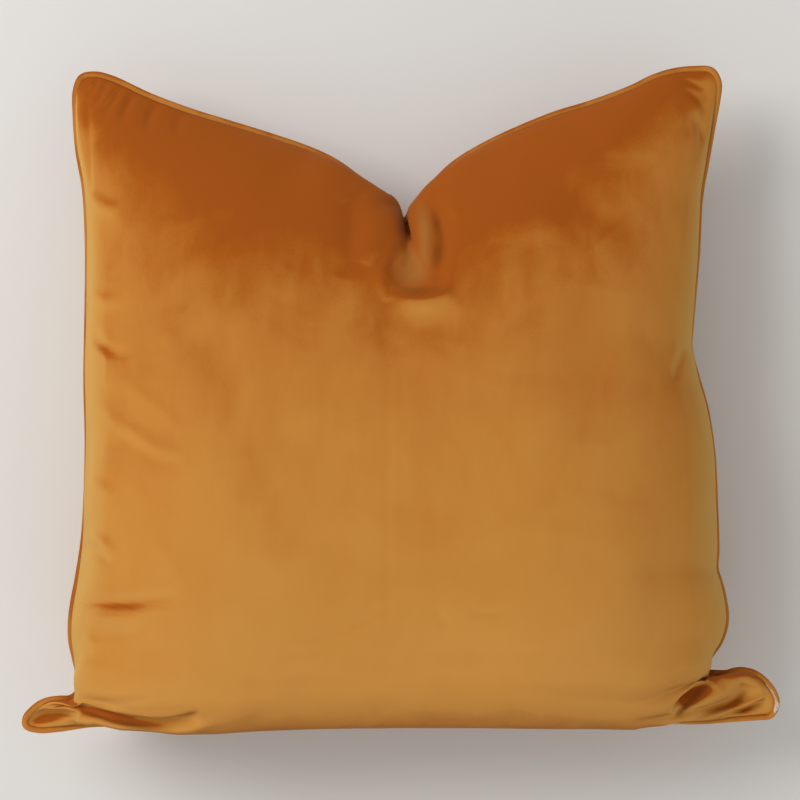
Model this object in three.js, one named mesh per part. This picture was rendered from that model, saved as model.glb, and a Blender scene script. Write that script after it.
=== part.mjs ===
// A filled velvet cushion cover with a piped edge, lying on its back, in millimetres with +Z up.
// +X is the cushion's right as it is looked at, +Y its top and +Z its face. The origin is under
// the middle, on the floor.
// The top edge is pressed in to a notch, and both bottom corners are turned out as flat ears.

import * as THREE from "three";

// Driving sizes
const COVER_SIDE = 550;
const FRONT_CROWN = 92;
const BACK_CROWN = 112;
const PIPING_RADIUS = 2.5;
const PIPING_SIDES = 8;
const STITCH_GAP = 0.6;
const PIPING_GAP = 0.45;
const PANEL_CELLS = 48;
const EVEN_SHARE = 0.4;
const SEAM_STEPS = 12;
const FLAT_BLEND = 9;

// How fast a side's broad shape, its small turns and its lean fade towards the middle of the panel,
// how wide a turn counts as small, how far from the seam the lean is reached, and the back's share
const SIDE_FADE = 3;
const DETAIL_FADE = 12;
const DETAIL_WIDTH = 30;
const DETAIL_STEPS = 120;
const PULL_FADE = { left: 2, right: 2, bottom: 2, top: 12 };
const PULL_REACH = 15;
const BACK_PULL = 0.6;

// Share of the panel over which the crown rises from each side, and how roundly
const RISE = { left: 0.3, right: 0.34, bottom: 0.36, top: 0.62 };
const RISE_POWER = { left: 0.5, right: 0.5, bottom: 0.5, top: 0.72 };

// How far the flat ears reach in from the bottom corners, and the share of the crown they lose
const EAR_SPREAD = 0.075;
const EAR_FLAT = 0.88;

const VELVET = { color: 0xb4702a, roughness: 0.9, metalness: 0 };

// The seam, side by side, once round from the bottom left ear. x, y and z lie on the piping's axis,
// and pullX and pullY say how far the front panel leans out past the seam there.
const SEAM_COLUMNS = ["x", "y", "z", "pullX", "pullY"];
const LEFT_SIDE = [
  [-272, -237, 80, 0, 0],
  [-272, -231, 81, 0, 0],
  [-269, -227, 82, 0, -2],
  [-262, -221, 85, 0, -4],
  [-255, -218, 86, 0, -4],
  [-247, -217, 85, 0, -4],
  [-240, -217, 80, -4, -4],
  [-235, -213, 74, -14, -3],
  [-234, -205, 72, -18, 0],
  [-235, -196, 75, -16, 0],
  [-237, -186, 78, -13, 0],
  [-239, -175, 80, -11, 0],
  [-239, -161, 82, -11, 0],
  [-237, -145, 82, -11, 0],
  [-234, -129, 81, -12, 0],
  [-230, -102, 80, -14, 0],
  [-228, -73, 80, -14, 0],
  [-227, -29, 80, -13, 0],
  [-228, 15, 80, -13, 0],
  [-227, 73, 80, -13, 0],
  [-227, 116, 80, -12, 0],
  [-229, 153, 80, -10, 0],
  [-234, 182, 79, -6, 0],
  [-236, 207, 78, -2, 0],
  [-236, 225, 77, 0, 0],
];
const TOP_SIDE = [
  [-232, 235, 76, 0, 0],
  [-222, 237, 76, 0, 0],
  [-210, 234, 77, 0, 0],
  [-182, 221, 79, 0, 0],
  [-153, 210, 80, 0, 0],
  [-124, 201, 80, 0, 1],
  [-95, 192, 80, 0, 2],
  [-66, 182, 80, 0, 5],
  [-47, 173, 80, 2, 12],
  [-30, 161, 80, 5, 17],
  [-14, 150, 80, 3, 14],
  [-6, 146, 79, 2, 6],
  [-2, 140, 79, 0, 0],
  [0, 133, 79, 3, -8],
  [3, 129, 78, 3, -12],
  [6, 133, 79, 2, -8],
  [10, 140, 79, -2, 2],
  [17, 149, 80, -5, 11],
  [27, 160, 80, -4, 14],
  [40, 172, 80, -1, 12],
  [67, 188, 80, 0, 5],
  [111, 207, 80, 0, 2],
  [140, 216, 80, 0, 4],
  [169, 227, 79, 0, 7],
  [183, 234, 78, 0, 7],
  [198, 239, 77, 0, 5],
  [214, 241, 76, 0, 2],
];
const RIGHT_SIDE = [
  [227, 240, 76, 0, 0],
  [232, 231, 77, 0, 0],
  [231, 219, 78, 2, 0],
  [228, 203, 79, 5, 0],
  [223, 175, 80, 9, 0],
  [218, 146, 80, 13, 0],
  [216, 109, 80, 14, 0],
  [213, 73, 80, 14, 0],
  [211, 51, 80, 14, 0],
  [211, 38, 79, 16, 0],
  [216, 18, 78, 17, 0],
  [222, -5, 78, 17, 0],
  [227, -36, 78, 16, 0],
  [228, -73, 79, 15, 0],
  [230, -109, 80, 14, 0],
  [232, -131, 80, 12, 0],
  [235, -145, 80, 11, 0],
  [236, -160, 80, 10, 0],
  [232, -175, 79, 11, 0],
  [226, -186, 76, 15, 0],
  [222, -195, 72, 18, 0],
  [221, -203, 68, 15, -4],
  [228, -204, 69, 6, -5],
  [237, -200, 73, 0, -3],
  [247, -197, 76, 0, -2],
  [258, -199, 78, 0, -1],
  [267, -206, 78, 0, 0],
  [273, -215, 78, 0, 0],
  [274, -223, 77, 0, 0],
];
const BOTTOM_SIDE = [
  [270, -230, 75, 0, 0],
  [262, -231, 75, 0, 0],
  [247, -232, 75, 0, 0],
  [218, -234, 76, 0, -12],
  [190, -233, 78, 0, -25],
  [146, -232, 81, 0, -27],
  [73, -231, 84, 0, -27],
  [0, -231, 85, 0, -26],
  [-73, -231, 85, 0, -26],
  [-146, -233, 84, 0, -26],
  [-204, -235, 80, 0, -17],
  [-226, -236, 78, 0, -8],
  [-247, -239, 78, 0, 0],
  [-263, -240, 79, 0, 0],
];

// Soft folds of the face, seen from above: troughs where depth is positive and ridges where it is
// negative. bow is the fold's sideways swing at its middle, to the left of the way from start to end.
const FOLD_COLUMNS = ["place", "startX", "startY", "endX", "endY", "bow", "width", "depth"];
const FOLDS = [
  ["pocket under the notch", 4, 136, 14, 70, 0, 15, 9],
  ["right of the pocket", 26, 148, 28, 88, 4, 8, 6],
  ["left of the notch", -32, 156, -40, 86, 0, 9, 3],
  ["over the left ear", -246, -220, -134, -219, -6, 9, 8],
  ["behind the right ear", 226, -200, 186, -232, 0, 9, 12],
  ["low on the left", -230, -148, -162, -145, 0, 9, 4],
  ["long crease on the left", -214, -30, -157, -46, 0, 8, 2],
  ["dent at the waist", 212, 44, 201, 12, 0, 8, 5],
];

// The filling's firm middle, towards which a fold is pressed
const CORE = { halfWidth: 140, halfHeight: 150, z: 85 };

const UP = new THREE.Vector3(0, 0, 1);

function readTable(columns, rows) {
  return rows.map((row) => Object.fromEntries(columns.map((name, i) => [name, row[i]])));
}

// The closed seam as a smooth ring, and each of its sides sampled evenly by length
function makeSeam() {
  const sides = [LEFT_SIDE, TOP_SIDE, RIGHT_SIDE, BOTTOM_SIDE];
  const rows = readTable(SEAM_COLUMNS, sides.flat());
  const ring = new THREE.CatmullRomCurve3(
    rows.map((row) => new THREE.Vector3(row.x, row.y, row.z)), true, "centripetal");
  const pulls = new THREE.CatmullRomCurve3(
    rows.map((row) => new THREE.Vector3(row.pullX, row.pullY, 0)), true, "catmullrom", 0.5);
  const curves = [];
  let first = 0;
  for (const side of sides) {
    const steps = side.length * SEAM_STEPS;
    const samples = [];
    let length = 0;
    for (let i = 0; i <= steps; i++) {
      const t = ((first + (side.length * i) / steps) / rows.length) % 1;
      const point = ring.getPoint(t);
      if (i > 0) length += point.distanceTo(samples[i - 1].point);
      samples.push({ point, pull: pulls.getPoint(t), length });
    }
    curves.push(samples);
    first += side.length;
  }
  const [left, top, right, bottom] = curves;
  const seam = { left, top, right: reversed(right), bottom: reversed(bottom) };
  seam.broad = Object.fromEntries(Object.entries(seam).map(([name, side]) => [name, broadened(side)]));
  return seam;
}

// A side at even shares with its small turns smoothed away, its two ends kept
function broadened(samples) {
  const chord = (share) => samples[0].point.clone().lerp(samples.at(-1).point, share);
  const offset = [];
  for (let i = 0; i <= DETAIL_STEPS; i++) {
    offset.push(along(samples, i / DETAIL_STEPS).point.sub(chord(i / DETAIL_STEPS)));
  }
  const spread = (DETAIL_WIDTH / COVER_SIDE) * DETAIL_STEPS;
  return offset.map((_, i) => {
    const sum = new THREE.Vector3();
    let weights = 0;
    for (let k = -DETAIL_STEPS; k <= 2 * DETAIL_STEPS; k++) {
      const beyond = k < 0 || k > DETAIL_STEPS;
      const mirrored = k < 0 ? -k : 2 * DETAIL_STEPS - k;
      const weight = Math.exp(-(((i - k) / spread) ** 2) / 2);
      sum.addScaledVector(offset[beyond ? mirrored : k], beyond ? -weight : weight);
      weights += weight;
    }
    return chord(i / DETAIL_STEPS).addScaledVector(sum, 1 / weights);
  });
}

function reversed(samples) {
  const total = samples.at(-1).length;
  return samples.map((sample) => ({ ...sample, length: total - sample.length })).reverse();
}

// A broadened side's point at a share of its length
function broadAt(points, share) {
  const i = Math.min(Math.floor(share * DETAIL_STEPS), DETAIL_STEPS - 1);
  return points[i].clone().lerp(points[i + 1], share * DETAIL_STEPS - i);
}

// The seam point and the pull at a share of one side's length
function along(samples, share) {
  const want = share * samples.at(-1).length;
  let i = samples.findIndex((sample) => sample.length >= want);
  if (i < 1) i = share > 0.5 ? samples.length - 1 : 1;
  const from = samples[i - 1];
  const to = samples[i];
  const f = (want - from.length) / (to.length - from.length);
  return { point: from.point.clone().lerp(to.point, f), pull: from.pull.clone().lerp(to.pull, f) };
}

function rise(share, span, power) {
  const t = Math.min(share / span, 1);
  return (1 - (1 - t) ** 2) ** power;
}

// The share of the full crown: nothing on the seam, and little in the flat bottom corners
function crown(u, v) {
  const ear = Math.exp(-(Math.min(u, 1 - u) ** 2 + v ** 2) / EAR_SPREAD ** 2);
  const full = rise(u, RISE.left, RISE_POWER.left) * rise(1 - u, RISE.right, RISE_POWER.right) *
    rise(v, RISE.bottom, RISE_POWER.bottom) * rise(1 - v, RISE.top, RISE_POWER.top);
  return full * (1 - EAR_FLAT * ear);
}

// Presses the folds into a point of the face, towards the firm middle
function pressFolds(point) {
  const core = new THREE.Vector3(
    Math.min(Math.max(point.x, -CORE.halfWidth), CORE.halfWidth),
    Math.min(Math.max(point.y, -CORE.halfHeight), CORE.halfHeight), CORE.z);
  const depth = foldDepth(point.x, point.y);
  point.addScaledVector(core.sub(point).normalize(), depth);
}

// How deep the folds are at a place on the face
function foldDepth(x, y) {
  let depth = 0;
  for (const fold of readTable(FOLD_COLUMNS, FOLDS)) {
    const dx = fold.endX - fold.startX;
    const dy = fold.endY - fold.startY;
    const length = Math.hypot(dx, dy);
    const s = ((x - fold.startX) * dx + (y - fold.startY) * dy) / length ** 2;
    const across = (dx * (y - fold.startY) - dy * (x - fold.startX)) / length;
    const taper = Math.max(1 - (2 * s - 1) ** 2, 0);
    depth += fold.depth * taper * Math.exp(-(((across - fold.bow * taper) / fold.width) ** 2));
  }
  return depth;
}

// Height above the floor, eased so that the back lies flat on it
function restOnFloor(z) {
  if (z <= -FLAT_BLEND) return 0;
  return z >= FLAT_BLEND ? z : (z + FLAT_BLEND) ** 2 / (4 * FLAT_BLEND);
}

// One panel point at the shares u and v of its width and height; facing is 1 in front, -1 behind
function panelPoint(seam, u, v, facing) {
  const sides = [
    { name: "left", share: v, inward: u },
    { name: "right", share: v, inward: 1 - u },
    { name: "bottom", share: u, inward: v },
    { name: "top", share: u, inward: 1 - v },
  ];
  const corner = (cu, cv) => along(cv ? seam.top : seam.bottom, cu).point;
  const mix = (from, to, share) => from.clone().lerp(to, share);
  const point = mix(mix(corner(0, 0), corner(1, 0), u), mix(corner(0, 1), corner(1, 1), u), v);
  const lean = facing > 0 ? 1 : BACK_PULL;
  for (const { name, share, inward } of sides) {
    const samples = seam[name];
    const here = along(samples, share);
    const chord = mix(samples[0].point, samples.at(-1).point, share);
    const broad = broadAt(seam.broad[name], share);
    point.addScaledVector(here.point.sub(broad), (1 - inward) ** DETAIL_FADE);
    point.addScaledVector(broad.sub(chord), (1 - inward) ** SIDE_FADE);
    const reach = 1 - Math.exp((-inward * COVER_SIDE) / PULL_REACH);
    point.addScaledVector(here.pull, lean * reach * (1 - inward) ** PULL_FADE[name]);
  }
  if (facing > 0) {
    point.z += FRONT_CROWN * crown(u, v);
    pressFolds(point);
  } else {
    point.z = restOnFloor(point.z - BACK_CROWN * crown(u, v));
  }
  return point;
}

// Shares from one side's seam to the one opposite, closer together near both
function panelShares() {
  const shares = [];
  for (let i = 0; i <= PANEL_CELLS; i++) {
    const even = i / PANEL_CELLS;
    const bunched = (1 - Math.cos(Math.PI * even)) / 2;
    shares.push(EVEN_SHARE * even + (1 - EVEN_SHARE) * bunched);
  }
  return shares;
}

// A point of the stitch line, just inside the piping, where both panels meet. The seam runs
// clockwise as seen from above, so the cover lies to its right.
function stitchPoint(before, here, after) {
  const tangent = after.clone().sub(before);
  const inward = tangent.cross(UP).normalize();
  return here.clone().addScaledVector(inward, PIPING_RADIUS + STITCH_GAP);
}

// Moves a point off the piping where it would touch it
function clearOf(axis, point) {
  const reach = PIPING_RADIUS + PIPING_GAP;
  let nearest = axis[0];
  for (const candidate of axis) {
    if (candidate.distanceToSquared(point) < nearest.distanceToSquared(point)) nearest = candidate;
  }
  const away = point.clone().sub(nearest);
  return away.length() < reach ? nearest.clone().addScaledVector(away.normalize(), reach) : point;
}

function makeMesh(name, positions, faces) {
  const geometry = new THREE.BufferGeometry();
  geometry.setAttribute("position", new THREE.Float32BufferAttribute(positions, 3));
  geometry.setIndex(faces);
  geometry.computeVertexNormals();
  const mesh = new THREE.Mesh(geometry, new THREE.MeshStandardMaterial(VELVET));
  mesh.name = name;
  return mesh;
}

// The piping's centre at a rim station, between the ones before and after it
function neighbours(axis, i, j) {
  const last = PANEL_CELLS;
  let at = 4 * last - i;
  if (i === 0) at = j;
  else if (j === last) at = last + i;
  else if (i === last) at = 3 * last - j;
  const count = axis.length;
  return [axis[(at + count - 1) % count], axis[at % count], axis[(at + 1) % count]];
}

// The filled cover: the front and back panels share their stitch line
function makeCover(seam, axis) {
  const shares = panelShares();
  const last = PANEL_CELLS;
  const positions = [];
  const index = { 1: new Map(), [-1]: new Map() };
  const key = (i, j) => i * (last + 1) + j;
  const onRim = (i, j) => i === 0 || j === 0 || i === last || j === last;
  for (const facing of [1, -1]) {
    for (let i = 0; i <= last; i++) {
      for (let j = 0; j <= last; j++) {
        if (facing < 0 && onRim(i, j)) {
          index[-1].set(key(i, j), index[1].get(key(i, j)));
          continue;
        }
        const point = onRim(i, j)
          ? stitchPoint(...neighbours(axis, i, j))
          : clearOf(axis, panelPoint(seam, shares[i], shares[j], facing));
        index[facing].set(key(i, j), positions.length / 3);
        positions.push(point.x, point.y, point.z);
      }
    }
  }
  const faces = [];
  for (const facing of [1, -1]) {
    for (let i = 0; i < last; i++) {
      for (let j = 0; j < last; j++) {
        const corners = [[i, j], [i + 1, j], [i + 1, j + 1], [i, j + 1]];
        const [a, b, c, d] = corners.map(([p, q]) => index[facing].get(key(p, q)));
        if (facing > 0) faces.push(a, b, c, a, c, d);
        else faces.push(a, c, b, a, d, c);
      }
    }
  }
  return makeMesh("cover", positions, faces);
}

// The piping: a closed tube round the seam
function makePiping(axis) {
  const positions = [];
  const faces = [];
  const count = axis.length;
  axis.forEach((centre, i) => {
    const before = axis[(i + count - 1) % count];
    const after = axis[(i + 1) % count];
    const tangent = after.clone().sub(before).normalize();
    const up = UP.clone().addScaledVector(tangent, -tangent.z).normalize();
    const side = new THREE.Vector3().crossVectors(tangent, up);
    for (let k = 0; k < PIPING_SIDES; k++) {
      const angle = (2 * Math.PI * (k + 0.5)) / PIPING_SIDES;
      const point = centre.clone();
      point.addScaledVector(side, PIPING_RADIUS * Math.cos(angle));
      point.addScaledVector(up, PIPING_RADIUS * Math.sin(angle));
      positions.push(point.x, point.y, point.z);
      const a = i * PIPING_SIDES + k;
      const b = i * PIPING_SIDES + ((k + 1) % PIPING_SIDES);
      const c = ((i + 1) % count) * PIPING_SIDES + k;
      const d = ((i + 1) % count) * PIPING_SIDES + ((k + 1) % PIPING_SIDES);
      faces.push(a, c, b, b, c, d);
    }
  });
  return makeMesh("piping", positions, faces);
}

// The piping's centre points, in step with the cover's own stations along each side
function pipingAxis(seam) {
  const shares = panelShares();
  const up = shares.slice(1, -1);
  const down = up.slice().reverse();
  const at = (samples, list) => list.map((share) => along(samples, share).point);
  return [
    ...at(seam.left, [0, ...up]), ...at(seam.top, [0, ...up]),
    ...at(seam.right, [1, ...down]), ...at(seam.bottom, [1, ...down]),
  ];
}

const seam = makeSeam();
const axis = pipingAxis(seam);
const cushion = new THREE.Group();
cushion.name = "cushion";
cushion.add(makeCover(seam, axis), makePiping(axis));

export default cushion;
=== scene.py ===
"""A filled velvet cushion cover with a piped edge, lying on its back and seen square on from above.

Sizes in the tables are in millimetres, with +X to the cushion's right as it is looked at, +Y to its
top and +Z out of its face. They become metres where a mesh is made.
"""

import bpy
import numpy as np
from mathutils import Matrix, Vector


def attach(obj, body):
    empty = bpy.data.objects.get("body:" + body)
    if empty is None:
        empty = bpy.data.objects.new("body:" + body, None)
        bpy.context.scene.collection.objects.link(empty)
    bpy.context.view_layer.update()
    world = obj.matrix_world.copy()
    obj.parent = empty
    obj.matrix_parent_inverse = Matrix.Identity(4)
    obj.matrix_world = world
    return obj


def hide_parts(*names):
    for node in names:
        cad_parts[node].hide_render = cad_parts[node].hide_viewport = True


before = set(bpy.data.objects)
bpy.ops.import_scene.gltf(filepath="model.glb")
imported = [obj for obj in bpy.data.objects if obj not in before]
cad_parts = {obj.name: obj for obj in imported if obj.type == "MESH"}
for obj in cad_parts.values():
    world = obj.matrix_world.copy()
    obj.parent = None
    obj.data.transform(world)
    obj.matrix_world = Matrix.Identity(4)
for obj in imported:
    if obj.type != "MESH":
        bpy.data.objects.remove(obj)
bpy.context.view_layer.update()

MM = 0.001

# The side of the flat square that each panel is cut as, and the radius of the piping
COVER_SIDE = 550
PIPING_RADIUS = 2.5

# How far the filling pushes each panel out, and over what height the back eases onto the floor
FRONT_CROWN = 92
BACK_CROWN = 112
FLAT_BLEND = 9
# How the panels rise from each side: the share of the width that it takes, and the power of the curve
RISE = {"left": 0.3, "right": 0.34, "bottom": 0.36, "top": 0.62}
RISE_POWER = {"left": 0.5, "right": 0.5, "bottom": 0.5, "top": 0.72}
# How much of the crown is missing in the bottom corners, and over what share of the width
EAR_FLAT = 0.88
EAR_SPREAD = 0.075

# How fast a side's broad shape, its small turns and its pulls fade towards the side opposite
SIDE_FADE = 3
DETAIL_FADE = 12
PULL_FADE = {"left": 2, "right": 2, "bottom": 2, "top": 12}
# The length over which the small turns of a side are smoothed away, and in how many samples
DETAIL_WIDTH = 30
DETAIL_SAMPLES = 241
# How far in from the seam a pull has grown to two thirds, and how much of it the back panel has
PULL_REACH = 15
BACK_PULL = 0.6

# How finely the panels, the seam between two of its rows, and the piping are made, and how much of
# the panels' spacing is even
PANEL_CELLS = 216
SEAM_STEPS = 40
PIPING_SIDES = 14
EVEN_SHARE = 0.55

# The cloth simulation of the filled cover, whose fine puckers are kept
CLOTH_CELLS = 96
CLOTH_FRAMES = 24
CLOTH_QUALITY = 6
CLOTH_PRESSURE = 2
CLOTH_SHRINK = -0.008
CLOTH_TENSION = 40
CLOTH_COMPRESSION = 20
CLOTH_SHEAR = 10
CLOTH_BENDING = 3
CLOTH_DAMPING = 10
CLOTH_AIR_DAMPING = 4
# The widest pucker, in the simulation's cells, its smoothing, in the panel's cells, how far one may
# stand out, and how much of them each panel has
PUCKER_WIDTH = 7
PUCKER_BLUR = 1.5
PUCKER_LIMIT = 3
FRONT_PUCKERS = 0.35
BACK_PUCKERS = 0.8
# Where the face is creased by the listed folds instead: x, y and radius
HAND_CREASED = [(8, 115, 75), (-245, -225, 60), (245, -215, 60)]

# Which way the velvet's nap leans: down the cushion; the painted sheen and shade follow it
NAP = (0.05, -0.98, 0)
# The same for the piping, a bias strip whose nap turns round the cord, so that its painted sheen
# hardly shows, and how much browner it is
PIPING_NAP = (0.08, -0.22, 0)
PIPING_SHIFT = -0.2

# The noises of the velvet and of the thread: how many patches a metre, their detail and distortion,
# and how many times as many there are along x, y and z
PATCHES = (13, 4, 0.8, (1, 1, 1))
STREAKS = (60, 3, 0.5, (1, 0.35, 1))
PILE = (800, 2, 0, (1, 1, 1))
TUFTS = (1400, 2, 0, (1, 1, 1))
FIBRES = (500, 2, 0, (1, 1, 1))
# The span of a noise that is used, and how far the noises move the velvet's tone
NOISE_SPAN = (0.3, 0.7)
PATCH_TONE = 0.065
PILE_TONE = 0.012
PANEL_STREAKS = 0.03
PIPING_STREAKS = 0.08

# The height of the pile's tufts in metres and how strongly they show, and the velvet's finish
TUFT_HEIGHT = 0.0004
TUFT_STRENGTH = 0.2
VELVET_FINISH = {
    "Roughness": 0.85,
    "Sheen Weight": 0.15,
    "Sheen Roughness": 0.4,
    "Sheen Tint": (0.9, 0.68, 0.35, 1),
    "Specular IOR Level": 0.1,
}

# The leans along the nap between which the velvet's tone goes, and the colours it goes through, as
# painted sheen and shade: from where it faces up the cushion to where it faces down, and darker again
# with painted shade on the steepest walls there
LEAN_DARK = -0.4
LEAN_GOLD = 0.9
VELVET_SHEEN_AND_SHADE_TONES = [
    (0.0, (0.34, 0.078, 0.005, 1)),
    (0.04, (0.37, 0.092, 0.006, 1)),
    (0.09, (0.42, 0.13, 0.014, 1)),
    (0.145, (0.475, 0.17, 0.026, 1)),
    (0.3, (0.54, 0.228, 0.04, 1)),
    (0.55, (0.6, 0.276, 0.057, 1)),
    (0.78, (0.56, 0.248, 0.05, 1)),
    (0.9, (0.47, 0.187, 0.034, 1)),
    (1.0, (0.36, 0.13, 0.02, 1)),
]

# The paler tone of painted sheen on the steep left and right sides, where the pile is seen from its
# flank; the loose threads are stained with the same tone. It comes between two steepnesses, grows from
# one share to another with the lean along the nap, and grows to the whole from a share inside with the
# distance from the middle in metres.
FLANK_SHEEN_AND_STAIN_TONE = (0.58, 0.315, 0.075, 1)
FLANK_STEEP = (0.62, 0.88)
FLANK_LEAN = (-0.42, -0.2)
FLANK_SHARE = (0.2, 1)
FLANK_OUT = (0.12, 0.19)
FLANK_INSIDE = 0.12

# The dark tone of painted shade deep in a fold and along the stitches, its share along the stitches,
# and where that line fades away from them in metres
PAINTED_SHADE_TONE = (0.14, 0.036, 0.004, 1)
SEAM_SHARE = 0.6
SEAM_LINE = (0.0007, 0.0024)

# Soft-edged spots in the velvet: x, y, half width and half height in millimetres, turn in degrees,
# and strength. Their middles lie at one height, and they reach as deep to either side of it.
SPOT_COLUMNS = ("place", "x", "y", "wide", "high", "turn", "strength")
SPOT_HEIGHT = 130
SPOT_DEEP = 200
# Where the face's nap carries brush marks, and where painted shade lies deep in its folds, creases and
# under the overhangs: more golden where the strength is positive and darker where it is negative
BRUSHED_AND_SHADED = [
    ("darker round the slit", 12, 116, 36, 40, 0, -0.12),
    ("right edge of the slit", 11, 117, 13, 36, 12, -0.35),
    ("left end of the pocket's foot", -8.5, 96, 9, 9, 0, -0.4),
    ("below the crescent", 21.5, 97, 11, 10, 0, -0.35),
    ("in the left ear's pocket", -257, -230.5, 30, 10, 4, -0.4),
    ("tongue of the left ear", -249, -218.5, 20, 5, 0, 0.25),
    ("over the left ear's root", -212, -226, 34, 9, -14, -0.5),
    ("along the fold over the left ear", -186, -232, 34, 5.5, -5, -0.5),
    ("under the right overhang", 212, -214, 35, 9.5, 44, -0.6),
    ("top of the right ear", 258, -200.5, 20, 6, -15, 0.2),
    ("right ear's valley, high", 246, -215, 18, 8, 50, -0.35),
    ("right ear's valley, low", 214, -230, 38, 7, 12, -0.38),
    ("under the fold by the tip", 250, -227, 15, 5, 22, -0.35),
    ("upper right", 145, 165, 75, 70, 0, 0.05),
    ("left of the middle line", -32, 30, 26, 60, 0, 0.05),
    ("right of the middle line", 20, -60, 26, 150, 0, -0.04),
    ("left of the middle, low", -25, -120, 18, 60, 0, 0.03),
    ("along the main crease", -190, -146.8, 46, 4.5, 2, -0.2),
    ("long smear on the left", -120, -20, 22, 130, 20, -0.04),
    ("under the notch", 25, 60, 45, 16, 0, 0.08),
    ("right of the middle", 130, 20, 60, 50, 30, -0.04),
    ("low on the right", 100, -110, 80, 50, 0, 0.05),
]
# Where the face under the notch has an even tan of painted sheen in shade, and that tan tone. A
# strength over 1 keeps that tone whole further out from the middle.
TAN_SHEEN_TONE = (0.37, 0.132, 0.024, 1)
TAN_SHEEN_SPOTS = [
    ("pocket under the slit", 9, 94.5, 19, 23, -8, 1.2),
    ("stripe right of the slit", 17.5, 121, 8, 29, 6, 1.1),
]

# Where painted shade lies deep in a fold, and what share of its dark tone it has there
DEEP = [
    ("fold over the left ear", -193, -232.5, 40, 4.5, -8, 0.75),
    ("where that fold begins", -223, -226.5, 20, 2.5, -14, 0.6),
    ("under the right overhang", 213, -213.5, 25, 5, 44, 0.75),
    ("low under the right overhang", 204, -222, 8, 4.5, 44, 0.6),
    ("right ear's valley, high", 246.5, -217.5, 10, 4, 48, 0.5),
    ("right ear's valley, low", 228, -226.5, 22, 3.5, 18, 0.55),
    ("fold by the right tip", 253, -225, 9, 2.5, 28, 0.5),
    ("inside the notch", 5, 132, 4, 13, 10, 0.3),
    ("crescent, high", 26.5, 125, 5, 17, 12, 0.6),
    ("crescent, low", 27.5, 105, 6, 17, -8, 0.6),
    ("foot of the pocket", 15, 76.5, 26, 7, 5, 0.35),
]

# The floor that the cushion lies on, with its size in metres
FLOOR_SIZE = 12
FLOOR_TONE = (0.75, 0.745, 0.735, 1)
FLOOR_ROUGHNESS = 0.9

# The lamps: place and size in metres, power and colour, and the point that they shine at
LAMPS = [
    ("key", (-1.6, 1.0, 2.0), 1.6, 40, (1.0, 0.98, 0.95)),
    ("from below", (0.5, -1.6, 0.7), 1.2, 3.5, (1.0, 0.97, 0.92)),
]
LAMP_AIM = (0.0, 0.0, 0.1)
# The soft fill light from all round, and its strength from the left and from the right
FILL_TONE = (1.0, 0.99, 0.97, 1)
FILL_LEFT_RIGHT = (0.66, 0.45)

# The camera, square on over the face: its height over the plane of the seam, that plane's height,
# the width it sees there, its sensor, and how far it sees in metres
CAMERA_HEIGHT = 2300
SEAM_HEIGHT = 80
VIEW_WIDTH = 582
SENSOR_WIDTH = 36
CAMERA_REACH = 20

# The seam, side by side, once round from the bottom left ear. Each row has x, y and z on the
# piping's axis, and how far along x and y the front panel leans out past the seam there.
LEFT_SIDE = [
    (-272, -237, 80, 0, 0),
    (-272, -231, 81, 0, 0),
    (-269, -227, 82, 0, -2),
    (-262, -221, 85, 0, -4),
    (-255, -218, 86, 0, -4),
    (-247, -217, 85, 0, -4),
    (-240, -217, 80, -4, -4),
    (-235, -213, 74, -14, -3),
    (-234, -205, 72, -18, 0),
    (-235, -196, 75, -14, 0),
    (-237, -186, 78, -6, 0),
    (-239, -175, 80, 0, 0),
    (-239, -161, 82, 1, 0),
    (-237, -145, 82, 0, 0),
    (-234, -129, 81, -3, 0),
    (-230, -102, 80, -9, 0),
    (-228, -73, 80, -14, 0),
    (-227, -29, 80, -13, 0),
    (-228, 15, 80, -13, 0),
    (-227, 73, 80, -13, 0),
    (-227, 116, 80, -12, 0),
    (-229, 153, 80, -14, 0),
    (-234, 182, 79, -16, 0),
    (-236, 207, 78, -15, 0),
    (-236, 225, 77, -8, 0),
]
TOP_SIDE = [
    (-232, 235, 76, 0, 0),
    (-222, 237, 76, 0, 0),
    (-210, 234, 77, 0, 0),
    (-182, 221, 79, 0, 0),
    (-153, 210, 80, 0, 0),
    (-124, 201, 80, 0, 1),
    (-95, 192, 80, 0, 2),
    (-66, 182, 80, 0, 5),
    (-47, 173, 80, 2, 15),
    (-30, 161, 80, 4, 19),
    (-14, 150, 80, 7, 17),
    (-6, 146, 79, 8, 10),
    (-2, 140, 79, 5, 0),
    (0, 133, 79, 3, -8),
    (3, 129, 78, 3, -12),
    (6, 133, 79, 2, -8),
    (10, 140, 79, -2, 2),
    (17, 149, 80, -5, 11),
    (27, 160, 80, -4, 14),
    (40, 172, 80, -1, 12),
    (67, 188, 80, 0, 5),
    (111, 207, 80, 0, 2),
    (140, 216, 80, 0, 4),
    (169, 227, 79, 0, 7),
    (183, 234, 78, 0, 7),
    (198, 239, 77, 0, 5),
    (214, 241, 76, 0, 2),
]
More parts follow.
